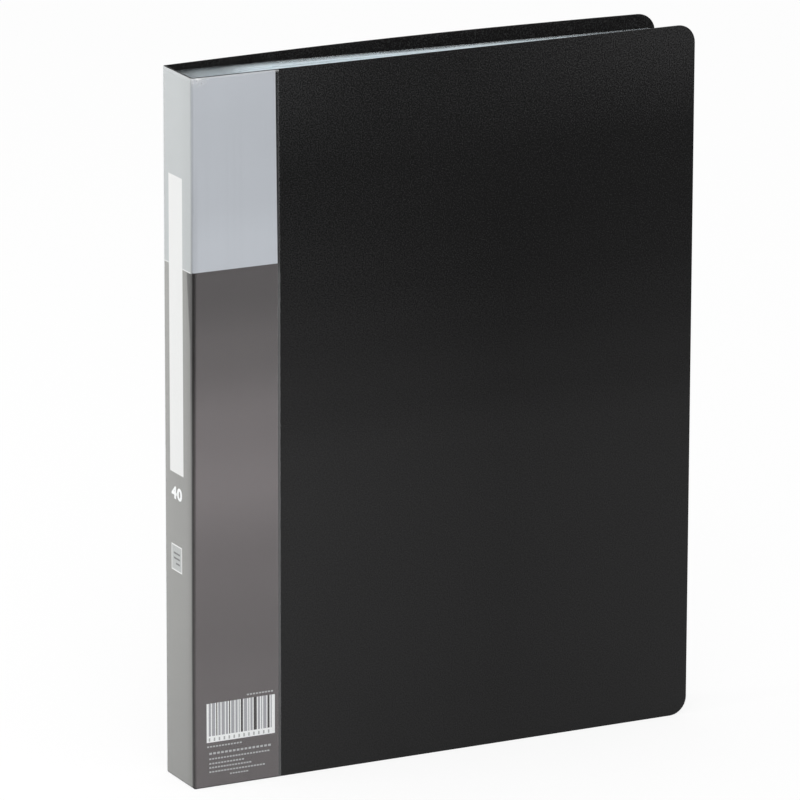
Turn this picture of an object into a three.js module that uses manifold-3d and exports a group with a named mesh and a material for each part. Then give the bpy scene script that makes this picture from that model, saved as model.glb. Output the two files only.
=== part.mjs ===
// Display book for A4 papers: a creased plastic cover with forty clear pockets bound to its spine.
// Millimetres, +Z up. The closed book stands on its bottom edges, spine at -X and front cover at -Y.
// The origin is the middle of the closed book's footprint.
import * as THREE from "three";
import { mergeVertices } from "three/addons/utils/BufferGeometryUtils.js";
import Module from "manifold-3d";

const wasm = await Module();
wasm.setup();
const { Manifold, Mesh: SolidMesh } = wasm;

// Overall sizes of the closed book; the spine is measured over its sleeve
const BOOK_WIDTH = 239;
const SPINE_WIDTH = 28.8;
const BOOK_HEIGHT = 310;

// Cover: one sheet creased twice, which makes a spine and two panels.
// The back panel is a little narrower than the front one and bows outwards.
const SHEET = 0.8;
const COVER_CORNER = 6;
const BACK_SHORTER = 4.8;
const BACK_BOW = 5.4;
const BOW_STEPS = 20;
const CREASE_GAP = 0.3;
const CREASE_SIDES = 16;

// Gap between sheets that lie on each other
const LIE = 0.05;

// Printed card inside the sleeve, folded round both corners of the spine
const CARD = 0.25;
const CARD_FIT = 0.3;
const CARD_TOP = 0.3;
const CARD_LIFT = 0.1;

// Clear sleeve over a strip of the front cover and over the spine, welded just past the back corner.
// It is open at the top.
const SLEEVE_FILM = 0.15;
const SLEEVE_STRIP = 40.5;
const SLEEVE_SEAM = 1.2;
const SLEEVE_END = 0.1;
const SLEEVE_FOOT = 0.3;
const SLEEVE_BACK_LEG = 2.6;
const SLEEVE_BACK_SEAM = 1;

// The back cover starts to bow at its crease, so the sleeve's back weld and foot stand a little off it
const BACK_LIE = 0.2;

// The flat parts of sleeve and card stop short of the creases, and folded corner parts lie between them
const CORNER_RELIEF = 1.2;
const CORNER_JOIN = 0.1;

// Binding strip on the inside of the spine
const BINDING = 0.8;
const BINDING_SIDE = 0.7;
const BINDING_END = 5;

// Pockets: two films welded along the bound edge, the foot and the fore-edge, open at the top
const POCKETS = 40;
const POCKET_FILM = 0.045;
const POCKET_MOUTH = 0.03;
const PAPER_ROOM = 212;
const BOUND_SEAM = 8;
const POCKET_SEAM = 2;
const POCKET_CORNER = 3;
const POCKET_END = 2;

// The pockets fan out from a spread at the spine to a thinner stack that leans on the front cover
const ROOT_GAP = 0.1;
const ROOT_SIDE = 1.6;
const TIP_SIDE = 0.9;
const TIP_STACK = 8.3;

const ARC_STEPS = 8;
const OVERCUT = 1;

// Places that follow from the sizes
const cardRoom = CARD + 2 * LIE;
const sleeveRise = cardRoom + SLEEVE_FILM;
const halfSheet = SHEET / 2;
const spineX = -BOOK_WIDTH / 2 + sleeveRise + halfSheet;
const bookDepth = SPINE_WIDTH - sleeveRise + BACK_BOW;
const frontY = -bookDepth / 2 + sleeveRise + halfSheet;
const backY = frontY + SPINE_WIDTH - 2 * (sleeveRise + halfSheet);
const creaseReach = halfSheet + CREASE_GAP;
const panelX = spineX + creaseReach;
const frontStrip = SLEEVE_STRIP - BOOK_WIDTH / 2 - spineX;
const spineStrip = backY - frontY - CORNER_RELIEF;
const cornerLeg = CORNER_RELIEF - CORNER_JOIN;
const sleeveTop = BOOK_HEIGHT - SLEEVE_END;
const sleeveFloor = SLEEVE_END + SLEEVE_FOOT;
const cardFoot = sleeveFloor + CARD_LIFT;
const cardEnd = BOOK_HEIGHT - CARD_TOP;
const bindingX = spineX + halfSheet + LIE;
const pocketWidth = BOUND_SEAM + PAPER_ROOM + POCKET_SEAM;
const pocketHeight = BOOK_HEIGHT - 2 * POCKET_END;
const rootX = bindingX + BINDING + ROOT_GAP;
const firstRootY = frontY + halfSheet + ROOT_SIDE;
const rootSpread = backY - halfSheet - ROOT_SIDE - firstRootY;
const firstTipY = frontY + halfSheet + TIP_SIDE;

// The two corners of the spine: place, side to which the cover lies, and how the sleeve meets the cover
const frontCorner = { y: frontY, side: -1, sleeveLeg: cornerLeg, lie: LIE };
const backCorner = { y: backY, side: 1, sleeveLeg: SLEEVE_BACK_LEG, lie: BACK_LIE };

const finishes = {
  cover: new THREE.MeshStandardMaterial({ color: 0x242425, roughness: 0.55 }),
  binding: new THREE.MeshStandardMaterial({ color: 0x1b1b1c, roughness: 0.5 }),
  card: new THREE.MeshStandardMaterial({ color: 0x6c696a, roughness: 0.4 }),
  sleeve: new THREE.MeshStandardMaterial({ color: 0xdfe4e8, roughness: 0.12, transparent: true, opacity: 0.3 }),
  pocket: new THREE.MeshStandardMaterial({ color: 0xd8e2e8, roughness: 0.2, transparent: true, opacity: 0.4 }),
};

// A closed geometry as a solid that can be cut and joined
function solidOf(geometry) {
  const bare = geometry.index ? geometry.toNonIndexed() : geometry.clone();
  bare.deleteAttribute("normal");
  bare.deleteAttribute("uv");
  const merged = mergeVertices(bare, 1e-4);
  return new Manifold(
    new SolidMesh({
      numProp: 3,
      vertProperties: merged.attributes.position.array,
      triVerts: new Uint32Array(merged.index.array),
    }),
  );
}

// A solid back as a geometry with flat faces
function geometryOf(solid) {
  const made = solid.getMesh();
  const geometry = new THREE.BufferGeometry();
  geometry.setAttribute("position", new THREE.BufferAttribute(new Float32Array(made.vertProperties), 3));
  geometry.setIndex(new THREE.BufferAttribute(new Uint32Array(made.triVerts), 1));
  const faceted = geometry.toNonIndexed();
  faceted.computeVertexNormals();
  return faceted;
}

// A box given by its two ends along each axis
function span(x0, x1, y0, y1, z0, z1) {
  const box = new THREE.BoxGeometry(x1 - x0, y1 - y0, z1 - z0);
  return box.translate((x0 + x1) / 2, (y0 + y1) / 2, (z0 + z1) / 2);
}

// A box on the outside of the front cover: along from the crease, out from the cover's face
function onFront(along0, along1, out0, out1, z0, z1) {
  const face = frontY - halfSheet;
  return span(spineX + along0, spineX + along1, face - out1, face - out0, z0, z1);
}

// The same on the outside of the spine
function onSpine(along0, along1, out0, out1, z0, z1) {
  const face = spineX - halfSheet;
  return span(face - out1, face - out0, frontY + along0, frontY + along1, z0, z1);
}

// The same distances out, folded round a corner and a leg's length along the cover
function onCorner(corner, leg, out0, out1, z0, z1) {
  const inside = halfSheet + out0;
  const outside = halfSheet + out1;
  const coverAngle = Math.PI - (corner.side * Math.PI) / 2;
  const clockwise = corner.side > 0;
  const profile = new THREE.Shape();
  profile.moveTo(-outside, -corner.side * cornerLeg);
  profile.lineTo(-outside, 0);
  profile.absarc(0, 0, outside, Math.PI, coverAngle, clockwise);
  profile.lineTo(leg, corner.side * outside);
  profile.lineTo(leg, corner.side * inside);
  profile.lineTo(0, corner.side * inside);
  profile.absarc(0, 0, inside, coverAngle, Math.PI, !clockwise);
  profile.lineTo(-inside, -corner.side * cornerLeg);
  profile.closePath();
  const fold = new THREE.ExtrudeGeometry(profile, {
    depth: z1 - z0,
    bevelEnabled: false,
    curveSegments: ARC_STEPS,
  });
  return fold.translate(spineX, corner.y, z0);
}

// An upright sheet from X = 0, square at the bound side and rounded at its free corners, centred on Y = 0
function sheetGeometry(width, height, radius, thickness) {
  const outline = new THREE.Shape();
  outline.moveTo(0, 0);
  outline.lineTo(width - radius, 0);
  outline.absarc(width - radius, radius, radius, -Math.PI / 2, 0, false);
  outline.lineTo(width, height - radius);
  outline.absarc(width - radius, height - radius, radius, 0, Math.PI / 2, false);
  outline.lineTo(0, height);
  outline.closePath();
  const sheet = new THREE.ExtrudeGeometry(outline, {
    depth: thickness,
    bevelEnabled: false,
    curveSegments: ARC_STEPS,
  });
  return sheet.translate(0, 0, -thickness / 2).rotateX(Math.PI / 2);
}

// The same sheet, bowed towards +Y between its bound side and its free side
function bowedSheet(width, height, radius, thickness, bow) {
  const steps = Array.from({ length: BOW_STEPS + 1 }, (_, i) => i / BOW_STEPS);
  const line = (side) => steps.map((t) => new THREE.Vector2(t * width, side + bow * Math.sin(Math.PI * t)));
  const profile = new THREE.Shape([...line(-thickness / 2), ...line(thickness / 2).reverse()]);
  const bowed = new THREE.ExtrudeGeometry(profile, { depth: height, bevelEnabled: false });
  const outline = sheetGeometry(width, height, radius, 2 * (bow + thickness));
  return geometryOf(solidOf(bowed).intersect(solidOf(outline)));
}

function piece(name, geometry, finish) {
  const mesh = new THREE.Mesh(geometry, finish);
  mesh.name = name;
  return mesh;
}

// Front and back panel, the spine, and the two creases that the panels turn on
function coverPieces() {
  const reach = BOOK_WIDTH / 2 - panelX;
  const front = sheetGeometry(reach, BOOK_HEIGHT, COVER_CORNER, SHEET);
  const back = bowedSheet(reach - BACK_SHORTER, BOOK_HEIGHT, COVER_CORNER, SHEET, BACK_BOW);
  const spine = span(
    spineX - halfSheet,
    spineX + halfSheet,
    frontY + creaseReach,
    backY - creaseReach,
    0,
    BOOK_HEIGHT,
  );
  const crease = new THREE.CylinderGeometry(halfSheet, halfSheet, BOOK_HEIGHT, CREASE_SIDES);
  crease.rotateX(Math.PI / 2).translate(spineX, 0, BOOK_HEIGHT / 2);
  return [
    piece("front_cover", front.translate(panelX, frontY, 0), finishes.cover),
    piece("back_cover", back.translate(panelX, backY, 0), finishes.cover),
    piece("spine_panel", spine, finishes.cover),
    piece("front_crease", crease.clone().translate(0, frontY, 0), finishes.cover),
    piece("back_crease", crease.clone().translate(0, backY, 0), finishes.cover),
  ];
}

// Film that stands off one face by the card's room and meets the face at its foot and at its seam, if any
function flatSleeve(onFace, end, seam) {
  const film = solidOf(onFace(CORNER_RELIEF, end, LIE, sleeveRise, SLEEVE_END, sleeveTop));
  const room = solidOf(
    onFace(
      CORNER_RELIEF - OVERCUT,
      seam > 0 ? end - seam : end + OVERCUT,
      -OVERCUT,
      cardRoom,
      sleeveFloor,
      sleeveTop + OVERCUT,
    ),
  );
  return geometryOf(film.subtract(room));
}

// The same film where it folds round a corner, with its foot
function cornerSleeve(corner) {
  const { sleeveLeg, lie } = corner;
  const film = solidOf(onCorner(corner, sleeveLeg, cardRoom, sleeveRise, SLEEVE_END, sleeveTop));
  const foot = solidOf(onCorner(corner, sleeveLeg, lie, sleeveRise, SLEEVE_END, sleeveFloor));
  return film.add(foot);
}

// The back corner's film ends in a weld on the back cover
function backCornerSleeve() {
  const end = spineX + SLEEVE_BACK_LEG;
  const face = backY + halfSheet;
  const weld = span(end - SLEEVE_BACK_SEAM, end, face + BACK_LIE, face + sleeveRise, SLEEVE_END, sleeveTop);
  return cornerSleeve(backCorner).add(solidOf(weld));
}

function flatCard(onFace, end) {
  return onFace(CORNER_RELIEF, end, LIE, LIE + CARD, cardFoot, cardEnd);
}

function cornerCard(corner) {
  return onCorner(corner, cornerLeg, LIE, LIE + CARD, cardFoot, cardEnd);
}

// The clear sleeve and the printed card in it, in four parts each because the covers open at the corners
function sleevePieces() {
  const cardStrip = frontStrip - SLEEVE_SEAM - CARD_FIT;
  return [
    piece("sleeve_front", flatSleeve(onFront, frontStrip, SLEEVE_SEAM), finishes.sleeve),
    piece("sleeve_corner", geometryOf(cornerSleeve(frontCorner)), finishes.sleeve),
    piece("sleeve_spine", flatSleeve(onSpine, spineStrip, 0), finishes.sleeve),
    piece("sleeve_back_corner", geometryOf(backCornerSleeve()), finishes.sleeve),
    piece("card_front", flatCard(onFront, cardStrip), finishes.card),
    piece("card_corner", cornerCard(frontCorner), finishes.card),
    piece("card_spine", flatCard(onSpine, spineStrip), finishes.card),
    piece("card_back_corner", cornerCard(backCorner), finishes.card),
  ];
}

function bindingStrip() {
  const low = frontY + halfSheet + BINDING_SIDE;
  const high = backY - halfSheet - BINDING_SIDE;
  const strip = span(bindingX, bindingX + BINDING, low, high, BINDING_END, BOOK_HEIGHT - BINDING_END);
  return piece("binding_strip", strip, finishes.binding);
}

// Two films with a mouth between them, from the bound edge at X = 0 to the fore-edge
function pocketGeometry() {
  const depth = 2 * POCKET_FILM + POCKET_MOUTH;
  const bag = solidOf(sheetGeometry(pocketWidth, pocketHeight, POCKET_CORNER, depth));
  const mouth = solidOf(
    span(
      BOUND_SEAM,
      BOUND_SEAM + PAPER_ROOM,
      -POCKET_MOUTH / 2,
      POCKET_MOUTH / 2,
      POCKET_SEAM,
      pocketHeight + OVERCUT,
    ),
  );
  return geometryOf(bag.subtract(mouth));
}

// Pockets from front to back, each turned so that its fore-edge lands in the stack
function pocketPieces() {
  const pocket = pocketGeometry();
  const pieces = [];
  for (let i = 0; i < POCKETS; i += 1) {
    const share = i / (POCKETS - 1);
    const rootY = firstRootY + share * rootSpread;
    const tipY = firstTipY + share * TIP_STACK;
    const name = `pocket_${String(i + 1).padStart(2, "0")}`;
    const leaf = piece(name, pocket, finishes.pocket);
    leaf.position.set(rootX, rootY, POCKET_END);
    leaf.rotation.z = Math.asin((tipY - rootY) / pocketWidth);
    pieces.push(leaf);
  }
  return pieces;
}

const displayBook = new THREE.Group();
displayBook.add(...coverPieces(), bindingStrip(), ...sleevePieces(), ...pocketPieces());

export default displayBook;
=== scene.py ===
"""Looks of an upright clear-pocket display book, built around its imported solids."""
import logging
import math
from collections.abc import Callable, Iterator
from contextlib import contextmanager
from dataclasses import dataclass, field
from enum import Enum
from functools import partialmethod
from typing import Self

import bmesh
import bpy
from mathutils import Matrix, Vector


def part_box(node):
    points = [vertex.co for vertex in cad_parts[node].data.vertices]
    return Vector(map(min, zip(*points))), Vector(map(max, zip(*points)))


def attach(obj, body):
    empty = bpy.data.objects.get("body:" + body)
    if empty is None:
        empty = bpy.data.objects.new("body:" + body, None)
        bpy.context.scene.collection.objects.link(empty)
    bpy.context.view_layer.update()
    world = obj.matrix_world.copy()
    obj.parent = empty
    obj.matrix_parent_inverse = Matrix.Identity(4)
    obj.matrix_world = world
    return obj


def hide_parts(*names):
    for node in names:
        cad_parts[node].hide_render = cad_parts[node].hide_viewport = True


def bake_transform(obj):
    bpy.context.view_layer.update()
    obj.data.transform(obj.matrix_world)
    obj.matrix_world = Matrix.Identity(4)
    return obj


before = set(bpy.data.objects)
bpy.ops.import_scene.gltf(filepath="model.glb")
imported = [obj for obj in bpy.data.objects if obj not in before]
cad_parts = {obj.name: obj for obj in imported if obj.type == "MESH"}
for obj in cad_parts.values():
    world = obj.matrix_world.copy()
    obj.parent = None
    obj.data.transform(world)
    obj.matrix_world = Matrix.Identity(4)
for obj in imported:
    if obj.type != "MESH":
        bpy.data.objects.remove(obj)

Piece = bpy.types.Object
Material = bpy.types.Material

MM = 0.001
BOOK_HEIGHT = 310 * MM
COLOUR_CHANGE = 226.65 * MM
IMAGE_SIDE = 800
SENSOR = 36.0
FILM_LAYERS_SEEN = 96
UV_NAME = "UVMap"
SEEING_RAYS = ("Is Camera Ray", "Is Glossy Ray", "Is Transmission Ray")
WHITE = (1, 1, 1, 1)
QUARTER = math.radians(90)
SHARP_ANGLE = math.radians(40)
SMOOTH_ANGLE = math.radians(35)
EDGE_STEPS = 2
# A face looks along an axis when its normal has more than this along it.
SQUARE_ON = 0.999
# Places that are closer than these, in metres, count as one.
SAME_PLACE = 1e-6
SAME_POINT = 1e-7
POINT_DIGITS = 7

log = logging.getLogger("display_book")


class Side(Enum):
    """The cover's three sides, by the body that each belongs to."""

    FRONT = "front_cover"
    BACK = "back_cover"
    SPINE = "spine"


def deselect() -> None:
    """Deselects everything."""
    bpy.ops.object.select_all(action="DESELECT")


def take(obj: Piece) -> None:
    """Makes a piece the only selected one and the active one."""
    deselect()
    obj.select_set(True)
    bpy.context.view_layer.objects.active = obj


def apply() -> None:
    """Puts the selected piece's place, turn and size into its mesh."""
    bpy.ops.object.transform_apply(location=True, rotation=True, scale=True)


def block(name: str, low: Vector, high: Vector) -> Piece:
    """Adds a block between two corners.

    Args:
        name: The new piece's name.
        low: Its lowest corner.
        high: Its highest corner.

    Returns:
        The block, with its place in its mesh.
    """
    deselect()
    bpy.ops.mesh.primitive_cube_add(size=1, location=(low + high) / 2)
    obj = bpy.context.object
    obj.name = name
    obj.data.name = name
    obj.scale = high - low
    apply()
    return obj


@contextmanager
def editing(obj: Piece, mode: str = "FACE") -> Iterator[None]:
    """Holds a piece in edit mode with nothing selected.

    Args:
        obj: The piece to edit.
        mode: What is picked: VERT, EDGE or FACE.

    Yields:
        Nothing; the piece is in edit mode meanwhile.
    """
    take(obj)
    bpy.ops.object.mode_set(mode="EDIT")
    bpy.ops.mesh.select_mode(type=mode)
    bpy.ops.mesh.select_all(action="DESELECT")
    try:
        yield
    finally:
        bpy.ops.object.mode_set(mode="OBJECT")


def pick(obj: Piece, kind: str, test: Callable[..., bool]) -> None:
    """Selects only the faces, edges or vertices that pass a test.

    Args:
        obj: The piece, in edit mode.
        kind: faces, edges or verts.
        test: True for an element that is wanted.
    """
    bpy.ops.mesh.select_all(action="DESELECT")
    mesh = bmesh.from_edit_mesh(obj.data)
    for element in getattr(mesh, kind):
        if test(element):
            element.select_set(True)
    mesh.select_flush_mode()
    bmesh.update_edit_mesh(obj.data)


def push(vector: tuple[float, float, float]) -> None:
    """Extrudes what is picked by a vector."""
    bpy.ops.mesh.extrude_region_move(TRANSFORM_OT_translate={"value": vector})


def turn(obj: Piece, axis: Vector, out: int, steps: int) -> None:
    """Carries an upright sheet's end round an upright axis by a quarter turn.

    Args:
        obj: The sheet, in edit mode.
        axis: Where the axis stands.
        out: 1 for the end towards +Y, -1 for the other one.
        steps: The bend's number of steps.
    """
    pick(obj, "faces", lambda f: f.normal.y * out > SQUARE_ON)
    bpy.ops.mesh.spin(steps=steps, angle=QUARTER, center=axis, axis=(0, 0, out))


def round_across(obj: Piece, width: float, steps: int, from_x: float = -1.0) -> None:
    """Rounds a sheet's edges that run through its thickness, along Y.

    Args:
        obj: The sheet.
        width: How far the rounding reaches.
        steps: Its number of steps.
        from_x: The least place along X of an edge that is rounded.
    """

    def wanted(edge: bmesh.types.BMEdge) -> bool:
        """Returns True for such an edge."""
        run = edge.verts[0].co - edge.verts[1].co
        return max(abs(run.x), abs(run.z)) < SAME_PLACE and edge.verts[0].co.x > from_x - SAME_PLACE

    with editing(obj, "EDGE"):
        pick(obj, "edges", wanted)
        bpy.ops.mesh.bevel(offset=width, segments=steps, affect="EDGES")


def cut(obj: Piece, places: list[float], axis: Vector) -> None:
    """Cuts a piece by planes.

    Args:
        obj: The piece.
        places: Where the planes stand along the axis.
        axis: The planes' normal, a unit vector.
    """
    with editing(obj, "VERT"):
        for place in places:
            bpy.ops.mesh.select_all(action="SELECT")
            bpy.ops.mesh.bisect(plane_co=axis * place, plane_no=axis)


def curve(
    obj: Piece, start: float, width: float, strips: int, shift: Callable[[float], float]
) -> None:
    """Curves a flat sheet: cuts it into even strips and moves their upright edges along Y.

    Args:
        obj: The sheet.
        start: Where it starts along X.
        width: Its width.
        strips: The number of strips.
        shift: The move at a share of the width.
    """
    cut(obj, [start + width * (i + 1) / strips for i in range(strips - 1)], Vector((1, 0, 0)))
    for place in sorted({round(v.co.x, POINT_DIGITS) for v in obj.data.vertices}):
        with editing(obj, "VERT"):
            pick(obj, "verts", lambda v, x=place: abs(v.co.x - x) < SAME_POINT)
            bpy.ops.transform.translate(value=(0, shift((place - start) / width), 0))


def smooth(obj: Piece) -> None:
    """Shades a piece smooth, apart from its sharp edges."""
    take(obj)
    bpy.ops.object.shade_smooth_by_angle(angle=SMOOTH_ANGLE)


def soften(obj: Piece, width: float) -> None:
    """Rounds a piece's sharp edges and shades it smooth.

    Args:
        obj: The piece.
        width: The bevel's width.
    """
    take(obj)
    bevel = obj.modifiers.new("soft_edges", "BEVEL")
    bevel.width = width
    bevel.segments = EDGE_STEPS
    bevel.limit_method = "ANGLE"
    bevel.angle_limit = SHARP_ANGLE
    bpy.ops.object.modifier_apply(modifier=bevel.name)
    smooth(obj)


def extent(obj: Piece) -> tuple[Vector, Vector]:
    """Returns the lowest and the highest corner of a piece's mesh."""
    places = [v.co for v in obj.data.vertices]
    return tuple(Vector(end(p[i] for p in places) for i in range(3)) for end in (min, max))


def tidy(obj: Piece) -> None:
    """Merges doubles and turns every face outwards."""
    with editing(obj):
        bpy.ops.mesh.select_all(action="SELECT")
        bpy.ops.mesh.remove_doubles(threshold=SAME_POINT)
        bpy.ops.mesh.normals_make_consistent(inside=False)


def unwrap(obj: Piece, flat: Callable[[Vector], tuple[float, float]]) -> None:
    """Fills a piece's UV map.

    Args:
        obj: The piece.
        flat: The place in the map of a point on the piece.
    """
    layer = obj.data.uv_layers.get(UV_NAME) or obj.data.uv_layers.new(name=UV_NAME)
    for loop in obj.data.loops:
        layer.data[loop.index].uv = flat(obj.data.vertices[loop.vertex_index].co)


class Value:
    """What a shader's node gives: a number, vector, colour or surface.

    Python's signs add the nodes that work on numbers, and a comparison gives 1 where it holds.
    """

    def __init__(self, shader: "Shader", socket: bpy.types.NodeSocket) -> None:
        """Keeps the shader and the output socket."""
        self.shader, self.socket = shader, socket

    def math(self, kind: str, other: object = 0.0) -> Self:
        """Returns the result of a Math node."""
        return self.shader.add("Math", {0: self, 1: other}, operation=kind)

    __add__ = partialmethod(math, "ADD")
    __sub__ = partialmethod(math, "SUBTRACT")
    __mul__ = partialmethod(math, "MULTIPLY")
    __truediv__ = partialmethod(math, "DIVIDE")
    __pow__ = partialmethod(math, "POWER")
    __gt__ = partialmethod(math, "GREATER_THAN")
    __lt__ = partialmethod(math, "LESS_THAN")
    __abs__ = partialmethod(math, "ABSOLUTE")
    larger = partialmethod(math, "MAXIMUM")

    def clamped(self) -> Self:
        """Returns the last result, kept between 0 and 1."""
        self.socket.node.use_clamp = True
        return self

    def to(self, ends: tuple) -> Self:
        """Maps a number from one range to another, clamped.

        Args:
            ends: The lower and upper end of its range, and the results at them.

        Returns:
            The result.
        """
        sockets = dict(zip(("From Min", "From Max", "To Min", "To Max"), ends))
        return self.shader.add("MapRange", sockets | {"Value": self})

    def grey(self, stops: tuple) -> Self:
        """Turns a number from 0 to 1 into grey levels between stops, smoothly.

        Args:
            stops: Places with their grey levels.

        Returns:
            The grey level.
        """
        result = self.shader.add("ValToRGB", {0: self})
        ramp = result.socket.node.color_ramp
        ramp.interpolation = "EASE"
        while len(ramp.elements) < len(stops):
            ramp.elements.new(1.0)
        for element, (place, level) in zip(ramp.elements, stops):
            element.position = place
            element.color = (level, level, level, 1)
        return result

    def mix(self, a: object, b: object) -> Self:
        """Returns two colours mixed by this share."""
        return self.shader.add("Mix", {0: self, 6: a, 7: b}, out=2, data_type="RGBA")

    def level(self, a: object, b: object) -> Self:
        """Returns two numbers mixed by this share."""
        return self.shader.add("Mix", {0: self, 2: a, 3: b}, data_type="FLOAT")

    def blend(self, a: Self, b: Self) -> Self:
        """Returns two surfaces mixed by this share."""
        return self.shader.add("MixShader", {0: self, 1: a, 2: b})

    def tint(self, colour: object) -> Self:
        """Returns a colour multiplied by this number."""
        sockets = {0: colour if isinstance(colour, Value) else colour[:3], "Scale": self}
        return self.shader.add("VectorMath", sockets, operation="SCALE")

    def parts(self) -> list[Self]:
        """Returns the three parts of a vector."""
        return [self.shader.add("SeparateXYZ", {0: self}, out=i) for i in range(3)]

    def stretched(self, scale: tuple[float, float, float]) -> Self:
        """Returns a vector scaled along each axis."""
        return self.shader.add("Mapping", {"Vector": self, "Scale": scale})

    def noise(self, scale: float, detail: float = 2.0) -> Self:
        """Returns noise over a vector."""
        return self.shader.add("TexNoise", {"Vector": self, "Scale": scale, "Detail": detail})

    def bump(self, depth: tuple) -> Self:
        """Returns the normal that a height gives, with a strength and a distance."""
        sockets = {"Height": self, "Strength": depth[0], "Distance": depth[1]}
        return self.shader.add("Bump", sockets)


class Shader:
    """The node tree of a new material or of the world."""

    def __init__(self, owner: Material | bpy.types.World) -> None:
        """Empties the owner's node tree.

        Args:
            owner: The material or the world.
        """
        self.owner = owner
        owner.use_nodes = True
        self.tree = owner.node_tree
        self.tree.nodes.clear()

    def add(
        self, kind: str, sockets: dict | None = None, out: int | str = 0, **values: object
    ) -> Value:
        """Adds a node.

        Args:
            kind: The node's type, without the word ShaderNode.
            sockets: What its inputs get, by name or number: a Value or a plain value.
            out: The output that is wanted, by name or number.
            **values: Its own properties.

        Returns:
            The output.
        """
        node = self.tree.nodes.new(f"ShaderNode{kind}")
        for key, value in values.items():
            setattr(node, key, value)
        for key, value in (sockets or {}).items():
            if isinstance(value, Value):
                self.tree.links.new(value.socket, node.inputs[key])
            else:
                node.inputs[key].default_value = value
        return Value(self, node.outputs[out])

    def bsdf(self, kind: str, sockets: dict) -> Value:
        """Returns a surface of a kind."""
        return self.add(f"Bsdf{kind}", sockets)

    def place(self) -> Value:
        """Returns the place on the piece, in Object coordinates."""
        return self.add("TexCoord", out="Object")

    def flat(self) -> Value:
        """Returns the place in the piece's UV map."""
        return self.add("UVMap", uv_map=UV_NAME)

    def outward(self) -> Value:
        """Returns 1 where a face is seen from outside and 0 from behind."""
        behind = self.add("NewGeometry", out="Backfacing")
        return self.add("Math", {0: 1.0, 1: behind}, operation="SUBTRACT")

    def fresnel(self, refraction: float) -> Value:
        """Returns how much a clear face reflects."""
        return self.add("Fresnel", {"IOR": refraction})

    def seen(self) -> Value:
        """Returns 1 for rays that see the surroundings directly, mirrored or through a film."""
        direct, mirrored, through = (self.add("LightPath", out=ray) for ray in SEEING_RAYS)
        return direct.larger(mirrored).larger(through)

    def done(self, surface: Value) -> bpy.types.ID:
        """Joins a surface to an output.

        Args:
            surface: The finished surface.

        Returns:
            The tree's owner.
        """
        kind = "World" if isinstance(self.owner, bpy.types.World) else "Material"
        node = self.tree.nodes.new(f"ShaderNodeOutput{kind}")
        self.tree.links.new(surface.socket, node.inputs["Surface"])
        return self.owner


@dataclass(frozen=True)
class CoverPlastic:
    """Black polypropylene sheet with a fine sanded grain, whose specks get a painted glint that
    grows near the top.

    How much of the light colour shows follows the height and, less, the place across, as painted
    light: lighter low down and towards the spine, darkest just below the top, and a painted sheen
    at the front's two top corners.
    """

    name: str = "sanded_black_sheet"
    slot: str = "cover"
    dark: tuple = (0.0034, 0.0034, 0.0035, 1)
    light: tuple = (0.037, 0.037, 0.0375, 1)
    grain: float = 1900.0
    grain_bump: tuple = (0.35, 0.05 * MM)
    speck: tuple = (0.35, 0.68, -0.5, 0.5)
    grain_with_painted_glint_by_height: tuple = (0.57, 1.0, 0.35, 1.42)
    painted_light_towards_spine: tuple = (-80 * MM, 30 * MM, 0.14, -0.07)
    painted_light_towards_edge: tuple = (30 * MM, 115 * MM, -0.07, -0.03)
    painted_light_across_fade: tuple = (0.75, 0.9, 1, 0)
    painted_sheen_top_spine: tuple = (-74 * MM, -34 * MM, 0.24, 0)
    painted_sheen_top_edge: tuple = (12 * MM, 112 * MM, 0, 0.38)
    painted_sheen_top_rise: tuple = (0.86, 0.98, 0, 1)
    painted_sheen_front_only: tuple = (-10 * MM, 0, 1, 0)
    # Painted light by height: lighter low down, darkest just below the top, a little lighter at the
    # top.
    painted_light_by_height: tuple = (
        ((0, 0.56), (0.1, 0.53), (0.36, 0.51), (0.44, 0.48), (0.53, 0.345), (0.62, 0.25))
        + ((0.7, 0.165), (0.78, 0.1), (0.85, 0.075), (0.9, 0.13), (0.95, 0.18), (1, 0.2))
    )
    cloud: float = 9.0
    roughness: tuple = (0.3, 0.7, 0.46, 0.56)
    gloss: float = 0.08

    def make(self) -> Material:
        """Builds the material.

        Returns:
            The material.
        """
        s = Shader(bpy.data.materials.new(self.name))
        place = s.place()
        across, deep, height = place.parts()
        up = height / BOOK_HEIGHT
        grain = place.noise(self.grain)
        # Painted light towards the spine, fading out near the top, and a painted sheen at the
        # front's two top corners.
        painted_light_tilt = across.to(self.painted_light_towards_spine).larger(across.to(self.painted_light_towards_edge))
        sides = across.to(self.painted_sheen_top_spine).larger(across.to(self.painted_sheen_top_edge))
        sides *= deep.to(self.painted_sheen_front_only)
        painted_light_tilt = painted_light_tilt * up.to(self.painted_light_across_fade) + sides * up.to(self.painted_sheen_top_rise)
        # The grain's specks are real; their stronger contrast near the top is a painted glint of
        # grazing light.
        speck = grain.to(self.speck) * up.to(self.grain_with_painted_glint_by_height)
        share = (speck + (painted_light_tilt + up.grey(self.painted_light_by_height))).clamped()
        sockets = {
            "Base Color": share.mix(self.dark, self.light),
            "Roughness": place.noise(self.cloud, 3).to(self.roughness),
            "Specular IOR Level": self.gloss,
            "Normal": grain.bump(self.grain_bump),
        }
        return s.done(s.bsdf("Principled", sockets))


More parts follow.
